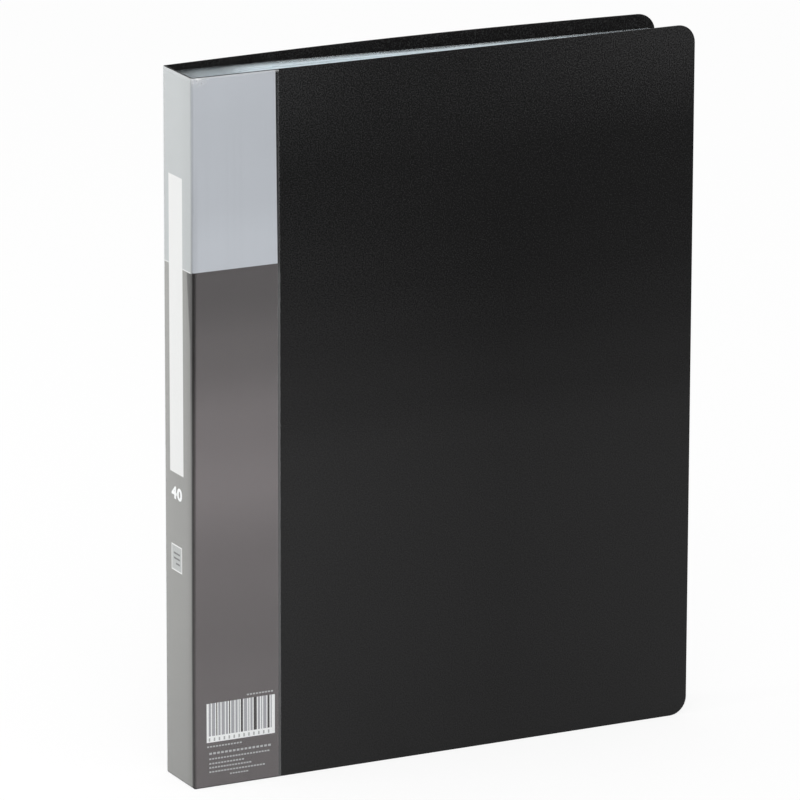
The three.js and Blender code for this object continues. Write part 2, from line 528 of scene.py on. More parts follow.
@dataclass(frozen=True)
class ClearFilm:
    """Clear sleeve film, hazy at its weld, with a painted highlight as a milky line along its top
    and a painted glint near the top of its corner.

    Most of its gloss is the card's own coat. Its UV map is in metres.
    """

    name: str = "clear_sleeve_film"
    slot: str = "sleeve"
    tint: tuple = (0.985, 0.988, 0.99, 1)
    milk: tuple = (0.86, 0.87, 0.88, 1)
    weld: float = 40.6 * MM
    weld_haze: tuple = (222 * MM, 228 * MM, 0.085, 0.014)
    edge: float = 41.15 * MM
    edge_haze: float = 0.03
    painted_top_highlight: tuple = (308.9 * MM, 309.5 * MM, 0, 0.3)
    painted_glint_up: tuple = (305.8 * MM, 308.2 * MM, 0, 1)
    painted_glint_start: tuple = (0.8 * MM, 2.2 * MM, 0, 1)
    painted_glint_reach: tuple = (5 * MM, 9 * MM, 0.62, 0)
    painted_glint_grain: float = 700.0
    painted_glint_gaps: tuple = (0.4, 0.6, 0.35, 1)
    refraction: float = 1.5
    shine: float = 0.3
    fold_shine: tuple = (1.1 * MM, 2.2 * MM, 0.2, 1.0)
    fold_middle: float = 1.1 * MM
    roughness: float = 0.05
    ripple: float = 16.0
    ripple_stretch: tuple = (1, 1, 0.3)
    ripple_bump: tuple = (0.08, 0.3 * MM)

    def make(self) -> Material:
        """Builds the material.

        Returns:
            The material.
        """
        s = Shader(bpy.data.materials.new(self.name))
        place, outward = s.place(), s.outward()
        along, up, _ = s.flat().parts()
        # The film shines less over the fold, so that the card's painted crease shade stays dark.
        shine = abs(along - self.fold_middle).to(self.fold_shine) * self.shine
        share = (s.fresnel(self.refraction) * shine * outward).clamped()
        welded = (along > self.weld) * up.to(self.weld_haze)
        rim = (along > self.edge) * self.edge_haze
        # Painted glint: a broken milky patch just past the fold, near the top of the corner.
        painted_corner_glint = along.to(self.painted_glint_reach) * up.to(self.painted_glint_up) * along.to(self.painted_glint_start)
        painted_corner_glint *= place.noise(self.painted_glint_grain).to(self.painted_glint_gaps)
        # Painted highlight: a milky line along the film's very top.
        haze = welded + rim + (painted_corner_glint + up.to(self.painted_top_highlight))
        ripple = place.stretched(self.ripple_stretch).noise(self.ripple, 1)
        normal = ripple.bump(self.ripple_bump)
        gloss = s.bsdf("Glossy", {"Roughness": self.roughness, "Normal": normal})
        clear = s.bsdf("Transparent", {"Color": self.tint})
        film = (haze * outward).clamped().blend(clear, s.bsdf("Diffuse", {"Color": self.milk}))
        return s.done(share.blend(film, gloss))


@dataclass(frozen=True)
class PrintedCard:
    """Card printed silver above and dark grey below, with faint brush lines, painted soft
    reflections up both tones, and painted light and shade along the fold and on the spine's side.

    Its UV map is in metres, and along it 0 is where the front fold starts.
    """

    name: str = "printed_card"
    slot: str = "card"
    silver: tuple = (0.535, 0.558, 0.598, 1)
    silver_painted_reflection: tuple = ((0.76, 1.0), (0.83, 0.93), (0.93, 0.92), (1.0, 0.95))
    grey: tuple = (0.199, 0.177, 0.179, 1)
    grey_painted_reflection: tuple = (
        ((0, 0.69), (0.137, 0.72), (0.207, 0.66), (0.32, 0.72))
        + ((0.43, 0.94), (0.515, 0.82), (0.61, 0.565), (0.7, 0.4))
    )
    corner: float = 0.9 * MM
    silver_spine: tuple = (0.525, 0.543, 0.544, 1)
    silver_painted_light_up: tuple = (230 * MM, 305 * MM, 0.94, 1.0)
    silver_painted_shade_to_fold: tuple = (-12 * MM, -1 * MM, 1.0, 0.93)
    grey_spine: tuple = (0.287, 0.283, 0.268, 1)
    grey_painted_shade_near_fold: tuple = (-6 * MM, -0.8 * MM, 0.97, 0.78)
    grey_painted_shade_at_foot: tuple = (0, 90 * MM, 0.85, 1)
    painted_lift_along: tuple = (-24 * MM, -12 * MM, 1, 0)
    painted_lift_up: tuple = (90 * MM, 220 * MM, 0.03, 0.2)
    line: tuple = (0.85, 0.87, 0.88, 1)
    half_line: float = 0.2 * MM
    # Painted shade: the dark colour of the shadowed crease along the fold.
    fold: tuple = (0.014, 0.012, 0.012, 1)
    fold_middle: tuple = (60 * MM, 250 * MM, 0.5 * MM, 1.75 * MM)
    fold_step: float = 0.6 * MM
    painted_crease_line: tuple = (0.38 * MM, 1.58 * MM, 1, 0)
    painted_crease_depth: tuple = (150 * MM, 190 * MM, 0.86, 1.0)
    faint_power: float = 3.0
    painted_crease_faint_depth: tuple = (230 * MM, 290 * MM, 0.42, 0.3)
    painted_crease_tail: tuple = (0, 3.2 * MM, 1, 0)
    painted_crease_tail_depth: tuple = (235 * MM, 285 * MM, 0.24, 0.03)
    wedge: tuple = (195 * MM, 224 * MM, -1.2 * MM, -4.0 * MM)
    wedge_soft: float = 1 * MM
    painted_shade_wedge_depth: tuple = (130 * MM, 190 * MM, 0.15, 0.66)
    brush_stretch: tuple = (900, 6, 1)
    brush_tone: tuple = (0.3, 0.7, 0.985, 1.015)
    cloud: float = 22.0
    cloud_stretch: tuple = (1, 0.4, 1)
    cloud_tone: tuple = (0.3, 0.7, -0.02, 0.02)
    roughness: tuple = (0.3, 0.7, 0.42, 0.5)
    metal: float = 0.05
    gloss: float = 0.2
    coat: tuple = (0, 1, 0.5, 0.1)
    coat_roughness: float = 0.08

    def make(self) -> Material:
        """Builds the material.

        Returns:
            The material.
        """
        s = Shader(bpy.data.materials.new(self.name))
        flat = s.flat()
        along, up, _ = flat.parts()
        brush = flat.stretched(self.brush_stretch).noise(1, 3)
        cloud = flat.stretched(self.cloud_stretch).noise(self.cloud)
        share = up / BOOK_HEIGHT
        # Painted reflection: soft lighter and darker bands up the grey and the silver.
        grey = share.grey(self.grey_painted_reflection).tint(self.grey)
        silver = share.grey(self.silver_painted_reflection).tint(self.silver)
        # Painted shade: a dark line along the fold and a wedge of shade beside it on the spine.
        painted_crease_shade = self.painted_crease_shade(along, up)
        front = (up > COLOUR_CHANGE).mix(grey, silver)
        colour = (along > self.corner).mix(self.spine(along, up), front)
        tone = brush.to(self.brush_tone) + cloud.to(self.cloud_tone)
        sockets = {
            "Base Color": tone.tint(painted_crease_shade.mix(colour, self.fold)),
            "Metallic": self.metal,
            "Specular IOR Level": self.gloss,
            "Roughness": brush.to(self.roughness),
            # Less coat over the painted crease shade, so that it stays dark.
            "Coat Weight": painted_crease_shade.to(self.coat),
            "Coat Roughness": self.coat_roughness,
        }
        return s.done(s.bsdf("Principled", sockets))

    def spine(self, along: Value, up: Value) -> Value:
        """Colours the spine's side of the card, with painted shade towards the fold and the foot,
        and painted light towards the top and, on the grey part, away from the fold.

        Args:
            along: The place from the fold, in metres.
            up: The height, in metres.

        Returns:
            The colour.
        """
        # Painted light towards the top and painted shade towards the fold and the foot; on the grey
        # part, painted light away from the fold.
        silver = up.to(self.silver_painted_light_up).tint(self.silver_spine)
        silver = along.to(self.silver_painted_shade_to_fold).tint(silver)
        near = along.to(self.grey_painted_shade_near_fold) * up.to(self.grey_painted_shade_at_foot)
        painted_lift = along.to(self.painted_lift_along) * up.to(self.painted_lift_up)
        grey = (near * (painted_lift + 1.0)).tint(self.grey_spine)
        on_line = abs(up - (COLOUR_CHANGE - self.half_line)) < self.half_line
        return on_line.mix((up > COLOUR_CHANGE).mix(grey, silver), self.line)

    def painted_crease_shade(self, along: Value, up: Value) -> Value:
        """Works out how strongly the painted shade of the fold's line shows: deep on the grey part,
        faint on the silver.

        On the grey part a painted shade beside it, on the spine, widens upwards into a wedge.

        Args:
            along: The place from the fold, in metres.
            up: The height, in metres.

        Returns:
            The line's share.
        """
        middle = up.to(self.fold_middle) - (up > COLOUR_CHANGE) * self.fold_step
        off = abs(along - middle)
        line = off.to(self.painted_crease_line)
        shade = ((along - up.to(self.wedge)) / self.wedge_soft).clamped() * (along < middle)
        deep = (line * up.to(self.painted_crease_depth)).larger(shade * up.to(self.painted_shade_wedge_depth))
        painted_crease_tail = off.to(self.painted_crease_tail) * (along > middle) * up.to(self.painted_crease_tail_depth)
        faint = (line**self.faint_power * up.to(self.painted_crease_faint_depth)).larger(painted_crease_tail)
        return (up > COLOUR_CHANGE).level(deep, faint)


@dataclass(frozen=True)
class Ink:
    """A plain printing ink or white slip on the card, with paper's faint mottling."""

    name: str
    colour: tuple
    slot: str = "card"
    shade: float = 0.93
    fibre: float = 2600.0
    fibre_tone: tuple = (0.3, 0.7, 0, 1)
    roughness: float = 0.5
    coat: float = 0.5
    coat_roughness: float = 0.08

    def make(self) -> Material:
        """Builds the material.

        Returns:
            The material.
        """
        s = Shader(bpy.data.materials.new(self.name))
        darker = tuple(self.shade * c for c in self.colour[:3]) + (1,)
        mottling = s.place().noise(self.fibre).to(self.fibre_tone)
        sockets = {
            "Base Color": mottling.mix(darker, self.colour),
            "Roughness": self.roughness,
            "Coat Weight": self.coat,
            "Coat Roughness": self.coat_roughness,
        }
        return s.done(s.bsdf("Principled", sockets))


@dataclass(frozen=True)
class PocketFilm:
    """Thin clear film with a slight bluish haze; its seams are milky, and its cut edges and mouth
    are milky partly of their own and partly as painted highlight, dimmed by painted shade in the
    rear pockets, near the spine and towards the fore edge.

    Its UV map gives the place along X in metres and the pocket's share of the stack, 0 in front.
    """

    name: str = "pocket_film"
    slot: str = "pocket"
    colour: tuple = (0.88, 0.95, 0.985, 1)
    tint: tuple = (0.9875, 0.9895, 0.9905, 1)
    through: float = 0.5
    haze: tuple = (0.3, 0.7, 0.016, 0.024)
    seam_haze: float = 0.1
    fore_seam: float = 102.6 * MM
    foot_seam: float = 4 * MM
    fore_edge: float = 0.4
    edge: float = 0.67
    edge_facing: float = 0.5
    mouth_milk_and_highlight: tuple = (306.2 * MM, 307.8 * MM, 0, 0.67)
    painted_shade_near_spine: tuple = (-96 * MM, -80 * MM, 0.14, 1.0)
    painted_shade_to_fore_edge: tuple = (-25 * MM, 92 * MM, 1.0, 0.02)
    streak_stretch: tuple = (12, 34, 1)
    streak: tuple = (0.3, 0.7, 0.5, 1.5)
    # Painted shade: the mouths and the cut edges dim from the front pockets to the rear ones.
    stack: tuple = ((0, 1.0), (0.6, 0.85), (0.72, 0.42), (0.82, 0.17), (0.92, 0.06), (1.0, 0.02))
    refraction: float = 1.45
    gloss_to_fore_edge: tuple = (20 * MM, 90 * MM, 1.0, 0.35)
    roughness: float = 0.1
    ripple: float = 14.0
    ripple_stretch: tuple = (1, 0.2, 0.5)
    ripple_bump: tuple = (0.3, 0.8 * MM)

    def make(self) -> Material:
        """Builds the material.

        Returns:
            The material.
        """
        s = Shader(bpy.data.materials.new(self.name))
        place, flat, outward = s.place(), s.flat(), s.outward()
        facing_x, facing_y, _ = s.add("TexCoord", out="Normal").parts()
        height = place.parts()[2]
        across, depth, _ = flat.parts()
        ripple = place.stretched(self.ripple_stretch).noise(self.ripple)
        streak = flat.stretched(self.streak_stretch).noise(1)
        # Painted shade: the mouth and the cut edges dim near the spine and towards the fore edge.
        painted_light_fade = across.to(self.painted_shade_near_spine) * across.to(self.painted_shade_to_fore_edge)
        painted_light_fade = painted_light_fade * streak.to(self.streak) * depth.grey(self.stack)
        seams = (across > self.fore_seam).larger(height < self.foot_seam)
        milky = ripple.to(self.haze) + seams * self.seam_haze
        # The mouth's and the cut edges' milkiness is partly the film's own and partly painted
        # highlight.
        mouth_milk_and_painted_highlight = height.to(self.mouth_milk_and_highlight) * painted_light_fade
        on_edge = (abs(facing_y) < self.edge_facing) * (painted_light_fade * self.edge)
        at_fore = (facing_x > self.edge_facing) * self.fore_edge
        share = (milky + mouth_milk_and_painted_highlight).larger(on_edge.larger(at_fore)) * outward
        milk = {"Color": self.colour}
        sides = {0: self.through, 1: s.bsdf("Diffuse", milk), 2: s.bsdf("Translucent", milk)}
        clear = s.bsdf("Transparent", {"Color": self.tint})
        film = share.clamped().blend(clear, s.add("MixShader", sides))
        normal = ripple.bump(self.ripple_bump)
        gloss = s.bsdf("Glossy", {"Roughness": self.roughness, "Normal": normal})
        shine = s.fresnel(self.refraction) * across.to(self.gloss_to_fore_edge) * outward
        return s.done(shine.clamped().blend(film, gloss))


@dataclass(frozen=True)
class BindingPlastic:
    """Matt black strip with a fine grain."""

    name: str = "binding_plastic"
    slot: str = "binding"
    dark: tuple = (0.006, 0.006, 0.006, 1)
    light: tuple = (0.014, 0.014, 0.014, 1)
    grain: float = 1800.0
    grain_bump: tuple = (0.3, 0.05 * MM)
    roughness: float = 0.5

    def make(self) -> Material:
        """Builds the material.

        Returns:
            The material.
        """
        s = Shader(bpy.data.materials.new(self.name))
        grain = s.place().noise(self.grain)
        sockets = {
            "Base Color": grain.mix(self.dark, self.light),
            "Roughness": self.roughness,
            "Normal": grain.bump(self.grain_bump),
        }
        return s.done(s.bsdf("Principled", sockets))


def dress(obj: Piece, material: Material, slot: str) -> Piece:
    """Gives a piece its material.

    Args:
        obj: The piece.
        material: Its material.
        slot: The record's material slot; not used.

    Returns:
        The piece.
    """
    obj.data.materials.clear()
    obj.data.materials.append(material)
    return obj


@dataclass
class Cover:
    """The cover sheet: two panels, the spine and the two bends between them."""

    sheet: float = 0.8 * MM
    corner: float = 8 * MM
    corner_steps: int = 10
    edge: float = 0.14 * MM
    strips: int = 40
    bend_inside: float = 0.2 * MM
    bend_steps: int = 6
    plastic: CoverPlastic = field(default_factory=CoverPlastic)

    def build(self) -> list[Piece]:
        """Builds and dresses every piece of the cover.

        Returns:
            The pieces.
        """
        skin = self.plastic.make()
        sides = (Side.FRONT, Side.BACK)
        made = [*map(self.panel, sides), self.spine(), *map(self.bend, sides)]
        return [dress(obj, skin, self.plastic.slot) for obj in made]

    def panel(self, side: Side) -> Piece:
        """Builds one cover panel with round free corners; the back one bows outwards.

        Args:
            side: Which panel.

        Returns:
            The panel.
        """
        low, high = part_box(side.value)
        bow = high.y - low.y - self.sheet
        obj = block(f"{side.value}_sheet", low, high - Vector((0, bow, 0)))
        round_across(obj, self.corner, self.corner_steps, high.x)
        if side is Side.BACK:
            width = high.x - low.x
            curve(obj, low.x, width, self.strips, lambda share: bow * math.sin(math.pi * share))
        soften(obj, self.edge)
        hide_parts(side.value)
        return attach(obj, side.value)

    def spine(self) -> Piece:
        """Builds the spine between the two bends.

        Returns:
            The spine.
        """
        low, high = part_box("spine_panel")
        obj = block("spine_sheet", low, high)
        round_across(obj, self.edge, EDGE_STEPS)
        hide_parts("spine_panel")
        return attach(obj, "spine")

    def bend(self, side: Side) -> Piece:
        """Builds the bend from the spine to one panel.

        Args:
            side: The panel that it leads to.

        Returns:
            The bend.
        """
        spine_low, spine_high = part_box("spine_panel")
        panel_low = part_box(side.value)[0]
        sign = -1 if side is Side.FRONT else 1
        start_y = spine_low.y if side is Side.FRONT else spine_high.y
        outer_y = panel_low.y if side is Side.FRONT else panel_low.y + self.sheet
        reach = self.sheet + self.bend_inside
        axis = Vector((spine_low.x + reach, outer_y - sign * reach, 0))
        near_y, far_y = sorted((start_y, axis.y))
        obj = block(
            f"{side.value}_bend",
            Vector((spine_low.x, near_y, spine_low.z)),
            Vector((spine_high.x, far_y, spine_high.z)),
        )
        with editing(obj):
            turn(obj, axis, sign, self.bend_steps)
        tidy(obj)
        smooth(obj)
        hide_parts("front_crease" if side is Side.FRONT else "back_crease")
        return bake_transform(obj)


@dataclass
class Sleeve:
    """The clear film and the printed card in it, folded round both corners of the spine.

    Each is two sheets that meet on the spine. A sheet's slack is how far its free end stands out
    below the change of colour.
    """

    film: float = 0.15 * MM
    film_slack: float = 0.5 * MM
    card: float = 0.25 * MM
    card_slack: float = 0.9 * MM
    bend: float = 1.2 * MM
    steps: int = 8
    top_gap: float = 0.03 * MM
    clear: ClearFilm = field(default_factory=ClearFilm)
    paper: PrintedCard = field(default_factory=PrintedCard)

    def build(self) -> list[Piece]:
        """Builds and dresses the film and the card.

        Returns:
            The pieces.
        """
        ends = ((Side.FRONT, ""), (Side.BACK, "_back"))
        film = [self.folded(f"sleeve_film{end}", side, "sleeve", self.film) for side, end in ends]
        card = [self.folded(f"printed_card{end}", side, "card", self.card) for side, end in ends]
        clear, printed = self.clear.make(), self.paper.make()
        film = [dress(obj, clear, self.clear.slot) for obj in film]
        return film + [dress(obj, printed, self.paper.slot) for obj in card]

    def folded(self, name: str, side: Side, kind: str, thick: float) -> Piece:
        """Builds a sheet that runs along the spine, round one corner and along that cover.

        Args:
            name: The new piece's name.
            side: The cover that it leads to.
            kind: The CAD nodes' first word, sleeve or card.
            thick: Its thickness.

        Returns:
            The sheet, with a UV map in metres.
        """
        low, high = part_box(f"{kind}_spine")
        high.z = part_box("sleeve_spine")[1].z - (self.top_gap if kind == "card" else 0)
        front = side is Side.FRONT
        out = -1 if front else 1
        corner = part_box(f"{kind}_corner" if front else f"{kind}_back_corner")
        outer_y = corner[0].y if front else corner[1].y
        end_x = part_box(f"{kind}_front")[1].x if front else corner[1].x
        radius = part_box("spine_panel")[0].x - low.x + self.bend
        axis = Vector((low.x + radius, outer_y - out * radius, 0))
        near_y, far_y = sorted((axis.y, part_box("card_spine")[1].y))
        obj = block(name, Vector((low.x, near_y, low.z)), Vector((low.x + thick, far_y, high.z)))

        def leading(face: bmesh.types.BMFace) -> bool:
            """Returns True for the bend's end face, which faces along the cover."""
            return face.normal.x > SQUARE_ON and (face.calc_center_median().y - axis.y) * out > 0

        with editing(obj):
            turn(obj, axis, out, self.steps)
            pick(obj, "faces", leading)
            push((end_x - axis.x, 0, 0))
        if front:
            self.widen(obj, end_x, self.card_slack if kind == "card" else self.film_slack)
        tidy(obj)
        self.unfold(obj, axis, radius, front)
        smooth(obj)
        parts = ("spine", "corner", "front") if front else ("back_corner",)
        flats = [f"{kind}_{part}" for part in parts]
        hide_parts(*flats)
        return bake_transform(obj)

    def widen(self, obj: Piece, end_x: float, slack: float) -> None:
        """Moves a sheet's free end outwards below the change of colour, so that it leans above it.

        Args:
            obj: The sheet.
            end_x: Where its free end stands.
            slack: How far it moves.
        """
        cut(obj, [COLOUR_CHANGE], Vector((0, 0, 1)))
        start_x, top_z = end_x - SAME_PLACE, COLOUR_CHANGE + SAME_PLACE
        with editing(obj, "VERT"):
            pick(obj, "verts", lambda v: v.co.x > start_x and v.co.z < top_z)
            bpy.ops.transform.translate(value=(slack, 0, 0))

    def unfold(self, obj: Piece, axis: Vector, radius: float, front: bool) -> None:
        """Lays a sheet's UV map out flat, in metres: 0 where the front fold starts, and Z upwards.

        Args:
            obj: The sheet.
            axis: The fold's axis.
            radius: The fold's outer radius.
            front: True for the sheet with the front fold; all of the other one counts as spine.
        """
        spine_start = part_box("card_spine")[0].y

        def flat(point: Vector) -> tuple[float, float]:
            """Finds a point's place on the flat sheet.

            Args:
                point: The point.

            Returns:
                Its place along the sheet and its height.
            """
            dx, dy = point.x - axis.x, point.y - axis.y
            if not front:
                return spine_start - point.y, point.z
            if dy >= 0:
                return -dy, point.z
            if dx >= 0:
                return radius * QUARTER + dx, point.z
            return radius * math.atan2(-dy, -dx), point.z

        unwrap(obj, flat)


@dataclass
class Marks:
    """What is printed on the card: title panel, number, page sign, bars, ticks and dashes.

    A plate is four places in millimetres: its near and far end along the card, measured from the
    front corner, then its lower and upper end. The other sizes are in millimetres too, apart from
    the thickness of a plate. A dash row is its near and far end, its middle and its height.
    """

    raise_by: float = 0.012 * MM
    white: Ink = Ink("title_white", (0.83, 0.825, 0.81, 1))
    bright: Ink = Ink("bright_white", (0.97, 0.97, 0.97, 1))
    pale: Ink = Ink("pale_ink", (0.5, 0.51, 0.51, 1))
    soft: Ink = Ink("soft_grey_ink", (0.46, 0.47, 0.46, 1))
    bars: Ink = Ink("bar_ink", (0.4, 0.4, 0.42, 1))
    line_grey: Ink = Ink("line_grey_ink", (0.13, 0.13, 0.13, 1))
    dark: Ink = Ink("dark_ink", (0.05, 0.045, 0.045, 1))
    title: tuple = (9.6, 22.9, 135.8, 265.2)
    digits: str = "40"
    number_spot: tuple = (11.2, 21.6, 124.2, 129.8)
    digit_depth: float = 0.5
    digit_weight: float = 0.045
    digit_spacing: float = 1.14
    sign: tuple = (11.5, 21.9, 92.5, 104.1)
    sign_line: float = 0.55
    sign_margin: float = 2.2
    sign_row: float = 0.8
    sign_rows: tuple = ((2.2, 4.2), (2.2, 6.4), (4.4, 8.6))
    boundary: tuple = ((1.8, 9.6), (22.9, 27.4))
    boundary_tall: float = 0.4
    bar_panel: tuple = (6.0, 38.2, 20.0, 37.4)
    bar_margin: float = 1.0
    bar_foot: float = 2.8
    bar_widths: tuple = (2, 3, 1, 2, 3, 2, 1, 3, 2, 1)
    bar_cycle: int = 4
    bar_dark: int = 2
    tick_count: int = 13
    tick_share: float = 0.3
    tick_rise: tuple = (0.5, 2.0)
    dash_pitch: float = 1.25
    dash_share: float = 0.68
    dash_rise: float = 0.3
    dash_rows: tuple = (
        ((25.0, 37.8, 39.0, 1.1), (6.2, 22.9, 18.1, 1.1), (7.2, 36.8, 15.0, 1.5))
        + ((7.2, 36.0, 12.6, 1.1), (7.2, 24.0, 10.5, 1.1), (7.2, 27.4, 8.7, 1.1))
        + ((7.2, 33.8, 6.8, 1.1), (16.9, 25.9, 4.9, 1.0))
    )

    def build(self) -> list[Piece]:
        """Builds and dresses every printed mark.

        Returns:
            The pieces.
        """
        return [
            self.plates("title_panel", Side.SPINE, self.white, [self.title]),
            self.number(),
            self.plates("page_sign", Side.SPINE, self.soft, [self.sign]),
            self.plates("page_sign_frame", Side.SPINE, self.white, self.sign_frame(), level=1),
            self.plates("page_sign_lines", Side.SPINE, self.line_grey, self.sign_lines(), level=1),
            self.plates("spine_boundary", Side.SPINE, self.white, self.boundary_lines()),
            self.plates("bar_panel", Side.FRONT, self.bright, [self.bar_panel]),
            self.plates("pale_bars", Side.FRONT, self.bars, self.upright_bars(dark=False), level=1),
            self.plates("dark_bars", Side.FRONT, self.dark, self.upright_bars(dark=True), level=1),
            self.plates("bar_ticks", Side.FRONT, self.soft, self.ticks(), level=1),
            self.plates("small_dashes", Side.FRONT, self.pale, self.dashes()),
        ]

    def boundary_lines(self) -> list[tuple]:
        """Returns the two thin lines on the spine at the change of colour."""
        high = COLOUR_CHANGE / MM
        return [(near, far, high - self.boundary_tall, high) for near, far in self.boundary]

    def sign_frame(self) -> list[tuple]:
        """Returns the four thin sides of the page sign's frame."""
        near, far, low, high = self.sign
        line = self.sign_line
        return [
            (near, far, high - line, high),
            (near, far, low, low + line),
            (near, near + line, low + line, high - line),
            (far - line, far, low + line, high - line),
        ]

    def sign_lines(self) -> list[tuple]:
        """Returns three short plain lines in the page sign."""
        near, far, _, high = self.sign
        start, rise = near + self.sign_margin, self.sign_row
        return [(start, far - end, high - drop, high - drop + rise) for end, drop in self.sign_rows]

    def upright_bars(self, dark: bool) -> list[tuple]:
        """Works out plain bars whose widths repeat evenly.

        Args:
            dark: True for the dark bars, one in each cycle; False for the others.

        Returns:
            Their plates.
        """
        near, far, low, high = self.bar_panel
        widths = self.bar_widths * 2
        step = (far - near - 2 * self.bar_margin) / (sum(widths) + len(widths))
        found, place = [], near + self.bar_margin
        for i, width in enumerate(widths):
            if (i % self.bar_cycle == self.bar_dark) == dark:
                found.append((place, place + width * step, low + self.bar_foot, high))
            place += (width + 1) * step
        return found

    def ticks(self) -> list[tuple]:
        """Works out the even row of ticks under the bars.

        Returns:
            Their plates.
        """
        near, far, foot, _ = self.bar_panel
        low, high = (foot + rise for rise in self.tick_rise)
        step = (far - near - 2 * self.bar_margin) / self.tick_count
        starts = [near + self.bar_margin + step * i for i in range(self.tick_count)]
        return [(start, start + step * self.tick_share, low, high) for start in starts]

    def dashes(self) -> list[tuple]:
        """Works out the rows of plain dashes above and under the bars.

        Returns:
            Their plates.
        """
        found = []
        for near, far, middle, tall in self.dash_rows:
            count = round((far - near) / self.dash_pitch / tall)
            step = (far - near) / count
            low, high = middle - self.dash_rise * tall, middle + self.dash_rise * tall
            starts = [near + step * i for i in range(count)]
            found += [(start, start + step * self.dash_share, low, high) for start in starts]
        return found

    def face(self, side: Side) -> Vector:
        """Finds the point on the card's outer face that a side's plates are measured from.

        Args:
            side: SPINE or FRONT.

        Returns:
            The point.
        """
        if side is Side.SPINE:
            return Vector((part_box("card_spine")[0].x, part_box("sleeve_front")[0].y, 0))
        return Vector((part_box("sleeve_spine")[0].x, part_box("card_front")[0].y, 0))

    def plates(self, name: str, side: Side, ink: Ink, spots: list[tuple], level: int = 0) -> Piece:
        """Builds thin plates on the card as one piece.

        Args:
            name: The new piece's name.
            side: SPINE or FRONT.
            ink: Their ink.
            spots: The plates.
            level: 0 on the card, 1 on another plate.

        Returns:
            The piece.
        """
        inner, outer = -self.raise_by * level, -self.raise_by * (level + 1)
        parts = []
        for near, far, low, high in spots:
            if side is Side.SPINE:
                ends = Vector((outer, near * MM, low * MM)), Vector((inner, far * MM, high * MM))
            else:
                ends = Vector((near * MM, outer, low * MM)), Vector((far * MM, inner, high * MM))
            parts.append(block(name, *(self.face(side) + end for end in ends)))
        take(parts[0])
        if len(parts) > 1:
            for part in parts:
                part.select_set(True)
            bpy.ops.object.join()
        return self.printed(parts[0], ink, side)

    def number(self) -> Piece:
        """Builds the number's digits, which fill its spot on the spine's card.

        Returns:
            The piece.
        """
        near, far, low, high = (place * MM for place in self.number_spot)
        deselect()
        bpy.ops.object.text_add(rotation=(QUARTER, 0, -QUARTER))
        obj = bpy.context.object
        obj.name = "pocket_number"
        obj.data.body = self.digits
        obj.data.extrude = self.digit_depth
        obj.data.offset = self.digit_weight
        obj.data.space_character = self.digit_spacing
        bpy.ops.object.convert(target="MESH")
        apply()
        start, end = extent(obj)
        size = end - start
        obj.scale = (self.raise_by / size.x, (far - near) / size.y, (high - low) / size.z)
        apply()
        obj.location = self.face(Side.SPINE) + Vector((-self.raise_by, near, low)) - extent(obj)[0]
        apply()
        tidy(obj)
        return self.printed(obj, self.bright, Side.SPINE)

    def printed(self, obj: Piece, ink: Ink, side: Side) -> Piece:
        """Gives a mark its ink, made once, and lets it ride on its side's body.

        Args:
            obj: The mark.
            ink: Its ink.
            side: Its side.

        Returns:
            The mark.
        """
        dress(obj, bpy.data.materials.get(ink.name) or ink.make(), ink.slot)
        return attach(obj, side.value)


@dataclass
class Binding:
    """The strip inside the spine that holds the pockets, shown by its own solid."""

    plastic: BindingPlastic = field(default_factory=BindingPlastic)

    def build(self) -> list[Piece]:
        """Dresses the strip and returns it alone."""
        return [dress(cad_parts["binding_strip"], self.plastic.make(), self.plastic.slot)]


@dataclass
class Pockets:
    """The stack of clear pockets, one leaf for each, open at the top."""

    bound: float = 8 * MM
    seam: float = 3 * MM
    foot: float = 2 * MM
    corner: float = 2.5 * MM
    corner_steps: int = 4
    wall: float = 0.04 * MM
    thick: float = 0.12 * MM
    sway: float = 0.3
    strips: int = 12
    film: PocketFilm = field(default_factory=PocketFilm)

    def build(self) -> list[Piece]:
        """Builds and dresses every pocket.

        Returns:
            The pockets, from front to back.
        """
        skin = self.film.make()
        nodes = sorted(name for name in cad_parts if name.startswith("pocket_"))
        last = len(nodes) - 1
        leaves = [self.leaf(node, i / last) for i, node in enumerate(nodes)]
        return [dress(leaf, skin, self.film.slot) for leaf in leaves]

    def leaf(self, node: str, depth: float) -> Piece:
        """Builds one pocket, curved from its root to its place in the stack.

        Args:
            node: The CAD node that it replaces.
            depth: Its share of the stack, 0 in front and 1 at the back.

        Returns:
            The pocket.
        """
        low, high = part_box(node)
        half = self.thick / 2
        root_y, tip_y = high.y - half, low.y + half
        obj = block(
            f"{node}_film",
            Vector((low.x, root_y - half, low.z)),
            Vector((high.x, root_y + half, high.z)),
        )
        round_across(obj, self.corner, self.corner_steps, high.x)
        self.open_mouth(obj)
        shift = tip_y - root_y
        curve(obj, low.x, high.x - low.x, self.strips, lambda share: shift * self.lean(share))
        unwrap(obj, lambda point: (point.x, depth))
        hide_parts(node)
        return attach(obj, node)

    def open_mouth(self, obj: Piece) -> None:
        """Opens the slit between the two films, from the top down to the foot's weld.

        Args:
            obj: The pocket as a plain leaf.
        """
        low, high = extent(obj)
        old = (low.x, high.x - self.corner)
        new = (low.x + self.bound, high.x - self.seam)
        with editing(obj):
            pick(obj, "faces", lambda f: f.normal.z > SQUARE_ON)
            push((0, 0, 0))
            bpy.ops.transform.resize(
                value=((new[1] - new[0]) / (old[1] - old[0]), 1 - 2 * self.wall / self.thick, 1),
                center_override=((old[0] + old[1]) / 2, (low.y + high.y) / 2, high.z),
            )
            bpy.ops.transform.translate(value=((new[0] + new[1] - old[0] - old[1]) / 2, 0, 0))
            push((0, 0, low.z + self.foot - high.z))

    def lean(self, share: float) -> float:
        """Returns how much of the way to the stack a leaf has gone at a share of its width."""
        inside = max(0.0, min(1.0, share))
        return (1 - self.sway) * inside + self.sway * inside * inside * (3 - 2 * inside)


